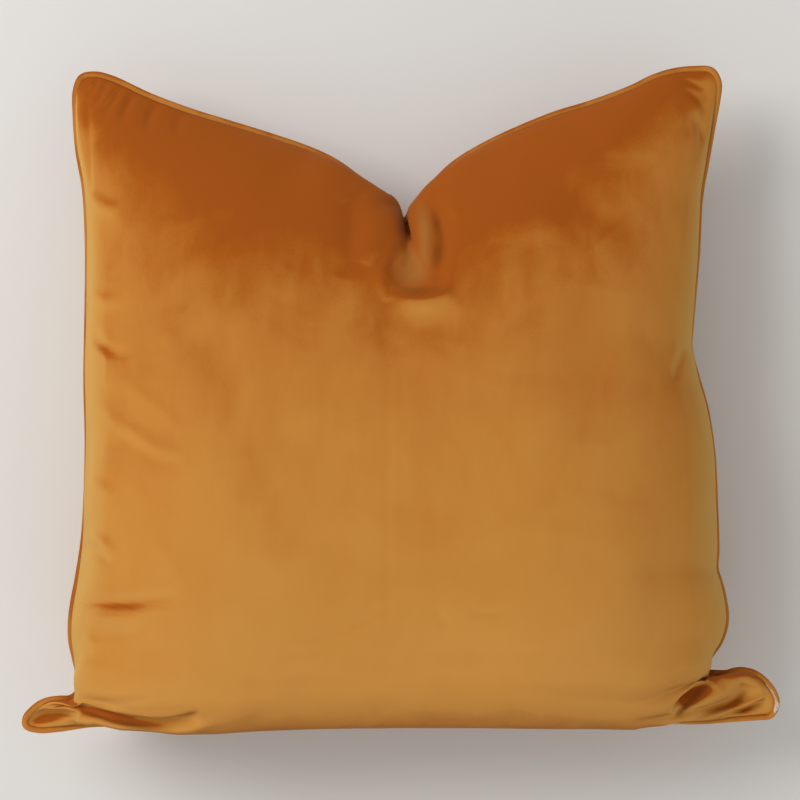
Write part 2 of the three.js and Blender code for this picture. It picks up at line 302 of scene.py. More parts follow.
RIGHT_SIDE = [
    (227, 240, 76, 0, 0),
    (232, 231, 77, 0, 0),
    (231, 219, 78, 2, 0),
    (228, 203, 79, 5, 0),
    (223, 175, 80, 9, 0),
    (218, 146, 80, 13, 0),
    (216, 109, 80, 14, 0),
    (213, 73, 80, 14, 0),
    (211, 51, 80, 13, 0),
    (210.5, 38, 79, 13, 0),
    (215.5, 18, 78, 12, 0),
    (222, -5, 78, 12, 0),
    (227, -36, 78, 12, 0),
    (229, -73, 79, 10, 0),
    (230, -109, 80, 7, 0),
    (229.5, -123, 80, 6, 0),
    (232, -131, 80, 6, 0),
    (235.5, -145, 80, 5, 0),
    (237, -160, 80, 4, 0),
    (233, -175, 79, 6, 0),
    (226, -186, 76, 13, 0),
    (222, -195, 72, 18, 0),
    (221, -203, 68, 15, -4),
    (228, -204, 69, 6, -5),
    (237, -200, 73, 0, -3),
    (247, -197, 76, 0, -2),
    (258, -199, 78, 0, -1),
    (267, -206, 78, 0, 0),
    (273, -215, 78, 0, 0),
    (274, -223, 77, 0, 0),
]
BOTTOM_SIDE = [
    (270, -230, 75, 0, 0),
    (262, -231, 75, 0, 0),
    (247, -232, 75, 0, 0),
    (218, -234, 76, 0, -12),
    (190, -233, 78, 0, -25),
    (146, -232, 81, 0, -27),
    (73, -231, 84, 0, -27),
    (0, -231, 85, 0, -26),
    (-73, -231, 85, 0, -26),
    (-146, -233, 84, 0, -26),
    (-204, -235, 80, 0, -17),
    (-226, -236, 78, 0, -8),
    (-247, -239, 78, 0, 0),
    (-263, -240, 79, 0, 0),
]

# White threads worn loose on the piping at the tip of the right ear: where each starts and ends
# along the piping from the bottom right corner, how far aside of its middle line it lies, and how
# widely and how often it swings
THREAD_COLUMNS = ("start", "end", "aside", "swing", "turns")
THREADS = [
    (5, 28, 0.9, 0.3, 1.5),
    (8, 22, 0.7, 0.3, 2),
    (4, 16, 0.3, 0.4, 1),
    (5, 13, -0.1, 0.4, 1.5),
    (4, 12, -0.5, 0.5, 1),
    (4, 12, -0.9, 0.5, 1.5),
    (5, 11, -1.3, 0.4, 1),
    (4, 10, 0.1, 0.5, 0.8),
    (5, 12, -0.4, 0.9, 1.2),
    (4, 10, -0.6, 1, 1.1),
    (6, 12, 0.2, 0.7, 0.7),
    (3, 9, -1, 0.6, 0.9),
    (6, 11, -1.5, 0.3, 2),
    (4, 11, -0.3, 1.1, 0.6),
]
THREAD_RADIUS = 0.24
THREAD_SIDES = 4
THREAD_STEPS = 24
# Their undyed tone, how much of the velvet's tone they have taken in places, and their roughness
THREAD_TONE = (0.72, 0.66, 0.58, 1)
THREAD_STAIN = 0.4
THREAD_ROUGHNESS = 0.8

# Folds of the face, by their paths as they are seen, in millimetres: troughs where depth is
# positive and ridges where it is negative. left and right are the widths to either side.
FOLD_COLUMNS = ("place", "path", "left", "right", "depth")
# How finely a fold's path is followed, how bluntly it ends, how many widths it reaches to its sides,
# and how far in from the seam all folds fade
FOLD_STEPS = 40
FOLD_TAPER = 0.7
FOLD_REACH = 3
FOLD_EDGE = 6
NOTCH_FOLDS = [
    ("slit under the notch", [(3, 134), (5, 127), (6.5, 119)], 3, 3, 9),
    ("pocket under the slit", [(7, 128), (10, 112), (13, 86)], 10, 12, 5),
    ("right of the pocket", [(20, 150), (27, 137), (30, 124), (30, 111), (27, 98), (20, 91)], 9, 4.5, 4),
    ("roll beside the slit", [(12, 148), (14, 132), (17, 112)], 5, 5, -1.5),
    ("foot of the pocket", [(-7, 92), (1, 86), (11, 83.5), (23, 84.5), (35, 92)], 20, 4, 3.2),
    ("crest below the pocket", [(-8, 79), (8, 73.5), (24, 74), (38, 81)], 5, 9, -2.4),
    ("left of the pocket", [(-5, 113), (-6, 98), (-3, 89)], 3.5, 3.5, 1.2),
    ("ridge left of the pocket", [(-13, 102), (-13, 86), (-8, 72)], 5, 4, -1.2),
    ("left shoulder", [(-32, 156), (-35, 142), (-35, 124), (-37, 105), (-41, 89)], 7, 7, 1.6),
    ("ridge by the left shoulder", [(-20, 153), (-21, 120), (-28, 99)], 7, 7, -1.2),
    ("left streak", [(-46, 146), (-36, 150), (-28, 156)], 3, 3, -0.8),
    ("right streak", [(34, 147), (40, 140), (43, 134)], 3, 3, -0.8),
]
LEFT_FOLDS = [
    ("upper dent", [(-223, 52), (-220, 44), (-210, 36), (-196, 32)], 4, 4, 1),
    ("ridge under the upper dent", [(-219, 39), (-212, 28), (-214, 9)], 4, 4, -1),
    ("ridge right of the upper dent", [(-172, 51), (-164, 40), (-167, 20)], 6, 6, -0.5),
    ("long ridge", [(-217, 1), (-210, -13), (-196, -22), (-188, -29), (-175, -36), (-157, -41)], 5, 5, -1),
    ("under the long ridge", [(-214, -34), (-200, -30), (-188, -36), (-175, -43), (-157, -47)], 5, 5, 0.5),
    ("faint ridge", [(-207, 22), (-193, 7), (-178, -4), (-164, -17), (-153, -25)], 5, 5, -0.5),
    ("under the faint ridge", [(-207, 7), (-199, -4), (-196, -15), (-171, -22)], 5, 5, 0.3),
    ("short ridge", [(-226, -97), (-215, -105), (-207, -115)], 4, 4, -1.4),
    ("under the short ridge", [(-230, -105), (-220, -111), (-210, -119)], 4, 4, 1.2),
    ("main crease", [(-236, -144.5), (-222, -145.5), (-206, -146), (-190, -145), (-175, -143), (-160, -143)],
     2.5, 3.5, 1.7),
    ("lip of the main crease", [(-228, -158), (-204, -158), (-182, -156)], 3, 5, -1.2),
    ("below the main crease", [(-224, -169), (-207, -170), (-188, -169)], 4, 4, 1),
    ("small ridge below", [(-231, -172), (-218, -180)], 4, 4, -1),
    ("long faint ridge", [(-182, -102), (-164, -124), (-159, -140)], 6, 6, -0.6),
    ("finger at the edge, high", [(-226, 150), (-216, 141), (-205, 138)], 5, 5, -1.2),
    ("finger at the edge, middle", [(-227, 78), (-215, 72), (-203, 74)], 5, 5, -1),
    ("finger at the edge, low", [(-228, -60), (-218, -64), (-208, -72)], 5, 5, -1),
]
LEFT_EAR_FOLDS = [
    ("over the ear", [(-252, -218.5), (-240, -221.5), (-225, -226), (-210, -230.5), (-192, -234),
                      (-175, -235.5), (-158, -233), (-146, -228)], 2.5, 6, 8),
    ("lip below it", [(-246, -226), (-234, -230), (-221, -236), (-200, -241), (-175, -242),
                      (-153, -240), (-132, -234)], 3, 3, -2.5),
    ("faint hollow above", [(-234, -219), (-215, -220), (-200, -220), (-180, -218)], 3, 3, 1),
    ("under the tongue", [(-268, -227), (-258, -223.5), (-248, -223), (-238, -225)], 2, 2, 2),
    ("ridge along the ear", [(-270, -230), (-260, -226), (-248, -225.5), (-234, -227)], 2, 2.5, -2),
    ("pocket of the ear", [(-270, -231), (-259, -227.5), (-247, -228), (-233, -231)], 2, 7, 6.5),
    ("strip below the pocket", [(-268, -237), (-252, -234.5), (-236, -233), (-222, -236)], 2.5, 2.5, -2),
    ("tongue at the ear's root", [(-264, -223), (-254, -219.5), (-244, -219.5), (-236, -221)], 2.5, 2, -3),
]
RIGHT_EAR_FOLDS = [
    ("under the overhang", [(224, -203), (218, -209), (212, -215), (206, -220), (199, -228)], 8, 2.5, 10),
    ("flat behind the tip", [(236, -206), (247, -202), (258, -205), (267, -213)], 5, 5, -2),
    ("broad ridge of the ear", [(206, -229), (218, -220), (232, -213), (246, -204)], 5, 5, -3),
    ("valley of the ear", [(251, -206), (249, -212), (243, -219), (233, -224), (222, -228),
                           (207, -231), (189, -234), (171, -236)], 6.5, 3.5, 6.5),
    ("ridge below the valley", [(266, -215), (256, -220), (246, -225), (234, -229),
                                (221, -233)], 2.5, 2.5, -3),
    ("fold by the tip", [(266, -218), (257, -222), (247, -226.5), (236, -231)], 4, 1.5, 5),
]
TOP_FOLDS = [
    ("left corner hollow", [(-227, 230), (-227, 204), (-226, 178), (-225, 146)], 2.2, 2.2, 0.8),
    ("left corner ridge", [(-222, 224), (-221, 189), (-220, 153)], 3, 3, -0.5),
    ("first pucker", [(-219, 238), (-221, 231), (-226, 222)], 2.2, 2.2, 1.3),
    ("second pucker", [(-211, 236), (-216, 226), (-223, 213)], 2.2, 2.2, 1.5),
    ("third pucker", [(-202, 231), (-208, 220), (-216, 208)], 2.5, 2.5, 1.7),
    ("fourth pucker", [(-191, 226), (-198, 215), (-203, 201)], 2.6, 3.4, 1.7),
    ("fifth pucker", [(-174, 219), (-181, 208), (-184, 196)], 2.6, 3.4, 1.5),
    ("sixth pucker", [(-155, 211), (-161, 203), (-163, 192)], 3, 3, 1),
    ("along the top right corner", [(186, 236), (203, 239), (217, 239)], 1.5, 1.5, 0.8),
    ("right corner wrinkle", [(203, 234), (212, 231), (221, 226)], 2, 2, 0.7),
    ("second right wrinkle", [(208, 226), (216, 220), (224, 208)], 2.5, 2.5, 0.7),
    ("third right wrinkle", [(213, 208), (219, 197), (224, 186)], 3, 3, 0.8),
    ("down the top right edge", [(222, 232), (222, 214), (219, 192), (216, 172)], 3, 3, 0.9),
]
WAIST_FOLDS = [
    ("dent at the waist", [(208, 41), (205, 33), (202, 24), (200, 15)], 3, 3.5, 0.9),
    ("ridge left of the dent", [(204, 45), (198, 31), (195, 19)], 4, 4, -0.4),
    ("ridge right of the dent", [(215, 38), (214, 28), (214, 16)], 3, 3, -0.5),
]
FACE_FOLDS = [
    ("pressed line", [(-9, 110), (-8.5, 0), (-9, -100), (-8, -176)], 2.5, 2.5, 0.5),
    ("slanting crease", [(-70, -176), (-45, -168), (-22, -156), (-6, -147)], 3.5, 3.5, 0.8),
    ("second slanting crease", [(-92, -186), (-62, -182), (-36, -170)], 4, 4, 0.5),
    ("short mark right of the line", [(24, -150), (30, -158), (34, -165)], 3, 3, 0.6),
    ("flat mark right of the line", [(48, -152), (62, -155), (76, -154)], 3, 3, 0.6),
    ("upper right hollow", [(90, 172), (124, 150), (150, 120)], 16, 16, 1.2),
    ("middle right hollow", [(150, 80), (140, 30), (146, -30)], 18, 18, 1.2),
    ("low left swell", [(-150, -70), (-100, -110), (-60, -130)], 22, 22, -1.2),
    ("low right swell", [(60, -190), (120, -170), (180, -120)], 20, 20, -1.2),
    ("middle left hollow", [(-160, 60), (-120, 20), (-110, -40)], 18, 18, 1),
    ("low middle hollow", [(-40, -200), (30, -196), (90, -202)], 10, 10, 0.8),
]
FOLDS = (
    NOTCH_FOLDS + LEFT_FOLDS + LEFT_EAR_FOLDS + RIGHT_EAR_FOLDS + TOP_FOLDS + WAIST_FOLDS + FACE_FOLDS
)
# The slit under the notch, over which both sides lean together: from how far away, and by what share
# of the gap
SLIT = [(2, 143), (4, 133), (6, 122), (8, 110), (9, 97)]
SLIT_REACH = 18
SLIT_CLOSE = 0.8


def hermite(p1, p2, m1, m2, w):
    """Points at the shares w of the way from p1 to p2, with the slopes m1 and m2 at the two."""
    return (
        (2 * w**3 - 3 * w**2 + 1) * p1
        + (w**3 - 2 * w**2 + w) * m1
        + (3 * w**2 - 2 * w**3) * p2
        + (w**3 - w**2) * m2
    )


def closed_curve(rows, turns, centripetal):
    """Points of a closed smooth curve through rows, at turns of the ring. With centripetal slopes it
    doesn't loop where rows lie close together."""
    count = len(rows)
    at = (np.asarray(turns) % 1.0) * count
    first = np.floor(at).astype(int)
    p0, p1, p2, p3 = (rows[(first + k) % count] for k in (-1, 0, 1, 2))
    if centripetal:
        d0, d1, d2 = (
            np.linalg.norm(b - a, axis=1, keepdims=True) ** 0.5
            for a, b in ((p0, p1), (p1, p2), (p2, p3))
        )
        m1 = ((p1 - p0) / d0 - (p2 - p0) / (d0 + d1)) * d1 + (p2 - p1)
        m2 = ((p3 - p2) / d2 - (p3 - p1) / (d1 + d2)) * d1 + (p2 - p1)
    else:
        m1, m2 = (p2 - p0) / 2, (p3 - p1) / 2
    return hermite(p1, p2, m1, m2, (at - first)[:, None])


def open_curve(points, count):
    """A smooth curve through a few points, as count points."""
    rows = np.array(points, float)
    ends = np.vstack((2 * rows[0] - rows[1], rows, 2 * rows[-1] - rows[-2]))
    at = np.linspace(0, len(rows) - 1, count)
    first = np.minimum(at.astype(int), len(rows) - 2)
    p0, p1, p2, p3 = (ends[first + k] for k in range(4))
    return hermite(p1, p2, (p2 - p0) / 2, (p3 - p1) / 2, (at - first)[:, None])


class Side:
    """One side of the seam, sampled finely, with its points and pulls looked up by share of length."""

    def __init__(self, points, pulls):
        steps = np.linalg.norm(np.diff(points, axis=0), axis=1)
        length = np.concatenate(([0.0], np.cumsum(steps)))
        self.length = length[-1]
        self.shares = length / self.length
        self.points = points
        self.pulls = pulls
        self.even = np.linspace(0, 1, DETAIL_SAMPLES)
        self.broad = self.smoothed()

    def smoothed(self):
        """The side at even shares with its small turns smoothed away, its two ends kept."""
        chord = self.points[0] + (self.points[-1] - self.points[0]) * self.even[:, None]
        off = self.look_up(self.points, self.even) - chord
        mirrored = np.concatenate((-off[:0:-1], off, -off[-2::-1]))
        at = np.arange(len(mirrored)) - (DETAIL_SAMPLES - 1)
        spread = DETAIL_WIDTH / COVER_SIDE * (DETAIL_SAMPLES - 1)
        weights = np.exp(-(((np.arange(DETAIL_SAMPLES)[:, None] - at) / spread) ** 2) / 2)
        return chord + (weights @ mirrored) / weights.sum(axis=1, keepdims=True)

    def reversed(self):
        return Side(self.points[::-1], self.pulls[::-1])

    def look_up(self, values, share):
        """One of the sampled values, at shares of the side's length."""
        return np.stack([np.interp(share, self.shares, column) for column in values.T], axis=-1)

    def point(self, share):
        return self.look_up(self.points, share)

    def broad_point(self, share):
        return np.stack([np.interp(share, self.even, column) for column in self.broad.T], axis=-1)

    def pull(self, share):
        return self.look_up(self.pulls, share)


def make_seam():
    """The four sides, each running left to right or bottom to top."""
    tables = {"left": LEFT_SIDE, "top": TOP_SIDE, "right": RIGHT_SIDE, "bottom": BOTTOM_SIDE}
    rows = np.array([row for table in tables.values() for row in table], float)
    places, pulls = rows[:, :3], np.column_stack((rows[:, 3:], np.zeros(len(rows))))
    seam = {}
    first = 0
    for name, table in tables.items():
        turns = (first + np.linspace(0, len(table), len(table) * SEAM_STEPS + 1)) / len(rows)
        seam[name] = Side(closed_curve(places, turns, True), closed_curve(pulls, turns, False))
        first += len(table)
    seam["right"] = seam["right"].reversed()
    seam["bottom"] = seam["bottom"].reversed()
    return seam


def panel_shares(cells):
    """Shares from one side's seam to the one opposite, closer together near both."""
    even = np.linspace(0, 1, cells + 1)
    bunched = (1 - np.cos(np.pi * even)) / 2
    return EVEN_SHARE * even + (1 - EVEN_SHARE) * bunched


def rise(share, side):
    """How much of the crown is reached at a share of the width in from one side."""
    t = np.minimum(share / RISE[side], 1)
    return (1 - (1 - t) ** 2) ** RISE_POWER[side]


def crown(u, v):
    """The share of the full crown: nothing on the seam, and little in the flat bottom corners."""
    ear = np.exp(-(np.minimum(u, 1 - u) ** 2 + v**2) / EAR_SPREAD**2)
    full = rise(u, "left") * rise(1 - u, "right") * rise(v, "bottom") * rise(1 - v, "top")
    return full * (1 - EAR_FLAT * ear)


def rest_on_floor(z):
    """Height above the floor, eased so that the back lies flat on it."""
    eased = (np.maximum(z + FLAT_BLEND, 0)) ** 2 / (4 * FLAT_BLEND)
    return np.where(z >= FLAT_BLEND, z, eased)


def panel_points(seam, u, v, facing):
    """Panel points at the shares u and v of its width and height; facing is 1 in front, -1 behind."""
    sides = (("left", v, u), ("right", v, 1 - u), ("bottom", u, v), ("top", u, 1 - v))
    low_left, low_right = seam["bottom"].points[0], seam["bottom"].points[-1]
    top_left, top_right = seam["top"].points[0], seam["top"].points[-1]
    across, up = u[..., None], v[..., None]
    low = low_left * (1 - across) + low_right * across
    top = top_left * (1 - across) + top_right * across
    point = low * (1 - up) + top * up
    lean = 1 if facing > 0 else BACK_PULL
    for name, share, inward in sides:
        side = seam[name]
        away = inward[..., None]
        chord = side.points[0] + (side.points[-1] - side.points[0]) * share[..., None]
        reach = 1 - np.exp(-away * COVER_SIDE / PULL_REACH)
        broad = side.broad_point(share)
        point = point + (broad - chord) * (1 - away) ** SIDE_FADE
        point = point + (side.point(share) - broad) * (1 - away) ** DETAIL_FADE
        point = point + side.pull(share) * lean * reach * (1 - away) ** PULL_FADE[name]
    if facing > 0:
        point[..., 2] += FRONT_CROWN * crown(u, v)
    else:
        point[..., 2] = rest_on_floor(point[..., 2] - BACK_CROWN * crown(u, v))
    return point


def plain_panels(seam, cells):
    """Grids of points of the front and back panels, without their puckers and folds."""
    shares = panel_shares(cells)
    u, v = np.meshgrid(shares, shares, indexing="ij")
    return panel_points(seam, u, v, 1), panel_points(seam, u, v, -1)


def unit(vectors):
    return vectors / np.linalg.norm(vectors, axis=-1, keepdims=True)


def grid_normals(grid):
    """Outward normals of a front panel's grid of points."""
    return unit(np.cross(np.gradient(grid, axis=0), np.gradient(grid, axis=1)))


def as_seen(points):
    """Where the camera sees points, in millimetres on the plane of the seam."""
    return points[..., :2] * (CAMERA_HEIGHT / (CAMERA_HEIGHT + SEAM_HEIGHT - points[..., 2:]))


def nearest_on(points, places):
    """From the nearest point of a smooth curve through points to each place: the gap, whether it
    lies on the curve's left, and how strong the curve is there, 1 at its middle and 0 at its ends."""
    path = open_curve(points, FOLD_STEPS)
    start, step = path[:-1], np.diff(path, axis=0)
    offset = places[:, None] - start
    along = np.clip((offset * step).sum(2) / (step**2).sum(1), 0, 1)
    gap = offset - along[..., None] * step
    nearest = np.linalg.norm(gap, axis=2).argmin(axis=1)
    row = np.arange(len(places))
    gap, along, heading = gap[row, nearest], along[row, nearest], step[nearest]
    on_left = heading[:, 0] * gap[:, 1] - heading[:, 1] * gap[:, 0] > 0
    share = (nearest + along) / len(step)
    return gap, on_left, np.maximum(1 - (2 * share - 1) ** 2, 0) ** FOLD_TAPER


def fold_depth(places, fold):
    """How deep one fold presses at each place: 0 past its ends and far to its sides."""
    gap, on_left, strength = nearest_on(fold["path"], places)
    width = np.where(on_left, fold["left"], fold["right"])
    return fold["depth"] * strength * np.exp(-((np.linalg.norm(gap, axis=1) / width) ** 2))


def press_folds(grid, folds, edge):
    """Presses the folds into a front panel; edge is 0 on its seam and 1 further in."""
    places = as_seen(grid).reshape(-1, 2)
    depth = np.zeros(len(places))
    for row in folds:
        fold = dict(zip(FOLD_COLUMNS, row))
        path = np.array(fold["path"])
        margin = FOLD_REACH * max(fold["left"], fold["right"])
        near = np.all((places > path.min(0) - margin) & (places < path.max(0) + margin), axis=1)
        depth[near] += fold_depth(places[near], fold)
    return grid - grid_normals(grid) * (depth.reshape(edge.shape) * edge)[..., None]


def close_slit(grid, edge):
    """Leans both sides of the slit under the notch together."""
    gap, _, strength = nearest_on(SLIT, as_seen(grid).reshape(-1, 2))
    near = np.exp(-((np.linalg.norm(gap, axis=1) / SLIT_REACH) ** 2))
    moved = gap * (SLIT_CLOSE * strength * near * edge.ravel())[:, None]
    closed = grid.copy()
    closed[..., :2] -= moved.reshape(grid.shape[:2] + (2,))
    return closed


def mesh_object(name, points, faces):
    """A smooth mesh object in metres from points in millimetres."""
    mesh = bpy.data.meshes.new(name)
    mesh.from_pydata((np.asarray(points) * MM).tolist(), [], np.asarray(faces).tolist())
    mesh.validate()
    mesh.shade_smooth()
    piece = bpy.data.objects.new(name, mesh)
    bpy.context.scene.collection.objects.link(piece)
    return piece


def rim_ring(seam, cells):
    """The seam's points once round, clockwise from above, in step with the panels' own stations."""
    inner = panel_shares(cells)[1:-1]
    down = inner[::-1]
    return np.concatenate((
        seam["left"].point(np.concatenate(([0.0], inner))),
        seam["top"].point(np.concatenate(([0.0], inner))),
        seam["right"].point(np.concatenate(([1.0], down))),
        seam["bottom"].point(np.concatenate(([1.0], down))),
    ))


def along_ring(ring):
    """Which way a closed ring runs at each of its points."""
    return np.roll(ring, -1, axis=0) - np.roll(ring, 1, axis=0)


def rim_indices(cells):
    """Grid indices of the panel's rim in the ring's order."""
    grid = np.arange((cells + 1) ** 2).reshape(cells + 1, cells + 1)
    left, top, right, bottom = grid[0, :-1], grid[:-1, -1], grid[-1, :0:-1], grid[:0:-1, 0]
    return np.concatenate((left, top, right, bottom))


def joined_panels(seam, front, back):
    """Points and faces of both panels as one closed mesh that share their stitch line, and where
    each point of the back panel's grid is among the points."""
    cells = len(front) - 1
    ring = rim_ring(seam, cells)
    rim = rim_indices(cells)
    front = front.reshape(-1, 3).copy()
    front[rim] = ring + unit(np.cross(along_ring(ring), (0, 0, 1))) * PIPING_RADIUS
    count = len(front)
    inner = np.setdiff1d(np.arange(count), rim)
    back_index = np.arange(count)
    back_index[inner] = count + np.arange(len(inner))
    points = np.vstack((front, back.reshape(-1, 3)[inner]))
    grid = np.arange(count).reshape(cells + 1, cells + 1)
    quads = np.stack((grid[:-1, :-1], grid[1:, :-1], grid[1:, 1:], grid[:-1, 1:]), axis=-1).reshape(-1, 4)
    faces = np.vstack((quads, back_index[quads[:, ::-1]]))
    return points, faces, back_index


def blurred(field, width):
    """A grid of numbers smoothed over width cells."""
    at = np.arange(len(field))
    weights = np.exp(-(((at[:, None] - at) / width) ** 2) / 2)
    weights /= weights.sum(axis=1, keepdims=True)
    return weights @ field @ weights.T


def finer_grid(field, cells):
    """A grid of numbers over the panel, brought to more cells."""
    shares, finer = panel_shares(len(field) - 1), panel_shares(cells)
    rows = np.stack([np.interp(finer, shares, row) for row in field])
    columns = np.stack([np.interp(finer, shares, column) for column in rows.T])
    return blurred(columns.T, PUCKER_BLUR)


def simulate_cloth(piece, pinned):
    """Blows the piece up as cloth held at its pinned points, and applies the result to its mesh."""
    group = piece.vertex_groups.new(name="stitched")
    group.add(pinned.tolist(), 1.0, "REPLACE")
    cloth = piece.modifiers.new("filled", "CLOTH")
    cloth.point_cache.frame_end = CLOTH_FRAMES
    settings = cloth.settings
    settings.vertex_group_mass = group.name
    settings.quality = CLOTH_QUALITY
    settings.tension_stiffness = CLOTH_TENSION
    settings.compression_stiffness = CLOTH_COMPRESSION
    settings.shear_stiffness = CLOTH_SHEAR
    settings.bending_stiffness = CLOTH_BENDING
    settings.tension_damping = CLOTH_DAMPING
    settings.compression_damping = CLOTH_DAMPING
    settings.shear_damping = CLOTH_DAMPING
    settings.air_damping = CLOTH_AIR_DAMPING
    settings.use_pressure = True
    settings.uniform_pressure_force = CLOTH_PRESSURE
    settings.shrink_min = CLOTH_SHRINK
    settings.effector_weights.gravity = 0
    for step in range(1, CLOTH_FRAMES + 1):
        bpy.context.scene.frame_set(step)
    bpy.context.view_layer.objects.active = piece
    bpy.ops.object.modifier_apply(modifier=cloth.name)
    bpy.context.scene.frame_set(1)


def filled_puckers(seam):
    """How far the filling pushes each panel in and out in fine puckers along the seam, front and
    back, by a cloth simulation of the plain cover."""
    front, back = plain_panels(seam, CLOTH_CELLS)
    points, faces, back_index = joined_panels(seam, front, back)
    trial = mesh_object("plain_cover", points, faces)
    simulate_cloth(trial, rim_indices(CLOTH_CELLS))
    settled = np.empty(len(points) * 3)
    trial.data.vertices.foreach_get("co", settled)
    bpy.data.meshes.remove(trial.data)
    moved = settled.reshape(-1, 3) / MM - points
    on_front = moved[: len(back_index)].reshape(front.shape)
    on_back = moved[back_index].reshape(back.shape)
    puckers = []
    for grid, moves in ((front, on_front), (back, on_back)):
        out = (moves * grid_normals(grid)).sum(axis=2)
        puckers.append(PUCKER_LIMIT * np.tanh((out - blurred(out, PUCKER_WIDTH)) / PUCKER_LIMIT))
    return puckers


def add_puckers(seam, front, back):
    """Puckers both panels as the filling does, but not where the face is creased by the listed folds."""
    puckered = np.ones(front.shape[:2])
    for x, y, radius in HAND_CREASED:
        puckered *= 1 - np.exp(-((front[..., 0] - x) ** 2 + (front[..., 1] - y) ** 2) / radius**2)
    on_front, on_back = (finer_grid(field, PANEL_CELLS) for field in filled_puckers(seam))
    front += grid_normals(front) * (on_front * puckered * FRONT_PUCKERS)[..., None]
    back += grid_normals(back) * (on_back * BACK_PUCKERS)[..., None]
    back[..., 2] = np.maximum(back[..., 2], 0)


def inset_from_seam(cells):
    """How far in from the seam each point of a panel's grid lies, along its flat cloth."""
    shares = panel_shares(cells)
    from_side = np.minimum(shares, 1 - shares) * COVER_SIDE
    return np.minimum(from_side[:, None], from_side)


def make_cover(seam):
    """The two panels: their filled shape, the puckers of the filling and the folds of the face. Each
    point keeps its distance from the seam in metres, by which painted shade darkens the stitch line."""
    inset = inset_from_seam(PANEL_CELLS)
    edge = np.minimum(inset / FOLD_EDGE, 1)
    front, back = plain_panels(seam, PANEL_CELLS)
    add_puckers(seam, front, back)
    front = close_slit(press_folds(front, FOLDS, edge), edge)
    points, faces, back_index = joined_panels(seam, front, back)
    cover = mesh_object("velvet_cover", points, faces)
    from_seam = np.empty(len(points))
    from_seam[back_index] = from_seam[: inset.size] = inset.ravel() * MM
    cover.data.attributes.new("from_seam", "FLOAT", "POINT").data.foreach_set("value", from_seam)
    return cover


def tube_rings(path, tangent, radius, sides):
    """Rings of points round a path, one after another."""
    up = unit(np.array((0.0, 0.0, 1.0)) - tangent * tangent[:, 2:])
    side = np.cross(tangent, up)
    angles = np.linspace(0, 2 * np.pi, sides, endpoint=False)[None, :, None]
    rings = path[:, None] + radius * (side[:, None] * np.cos(angles) + up[:, None] * np.sin(angles))
    return rings.reshape(-1, 3)


def tube_faces(steps, sides, count):
    """Quads between the rings of a tube of count rings, for its first steps."""
    ring = np.arange(steps)[:, None] * sides
    corner = np.arange(sides)
    here = (ring + corner).ravel()
    beside = (ring + (corner + 1) % sides).ravel()
    ahead, ahead_beside = ((at + sides) % (count * sides) for at in (here, beside))
    return np.column_stack((here, ahead, ahead_beside, beside))


def make_piping(seam):
    """The piping: a closed tube round the seam."""
    ring = rim_ring(seam, PANEL_CELLS)
    points = tube_rings(ring, unit(along_ring(ring)), PIPING_RADIUS, PIPING_SIDES)
    return mesh_object("velvet_piping", points, tube_faces(len(ring), PIPING_SIDES, len(ring)))


def thread_path(side, thread):
    """The middle line of one loose thread, on top of the piping and swinging from side to side."""
    t = np.linspace(0, 1, THREAD_STEPS)
    axis = side.point((thread["start"] + (thread["end"] - thread["start"]) * t) / side.length)
    tangent = unit(np.gradient(axis, axis=0))
    aside = thread["aside"] + thread["swing"] * np.sin(2 * np.pi * thread["turns"] * t)
    path = axis - unit(np.cross(tangent, (0, 0, 1))) * aside[:, None]
    path[:, 2] += np.sqrt(np.maximum(PIPING_RADIUS**2 - aside**2, 0)) + THREAD_RADIUS
    return path


def make_threads(seam):
    """The loose threads, as closed tubes with flat ends."""
    quads = tube_faces(THREAD_STEPS - 1, THREAD_SIDES, THREAD_STEPS)
    near_end = np.arange(THREAD_SIDES)[None, ::-1]
    far_end = np.arange(THREAD_SIDES)[None] + (THREAD_STEPS - 1) * THREAD_SIDES
    points, faces = [], []
    for number, row in enumerate(THREADS):
        path = thread_path(seam["right"], dict(zip(THREAD_COLUMNS, row)))
        tangent = unit(np.gradient(path, axis=0))
        points.append(tube_rings(path, tangent, THREAD_RADIUS, THREAD_SIDES))
        first = number * THREAD_STEPS * THREAD_SIDES
        faces += [quads + first, near_end + first, far_end + first]
    return mesh_object("frayed_threads", np.vstack(points), np.vstack(faces))


def set_values(node, values):
    """Sets sockets of a node by their names."""
    for name, value in values.items():
        node.inputs[name].default_value = value


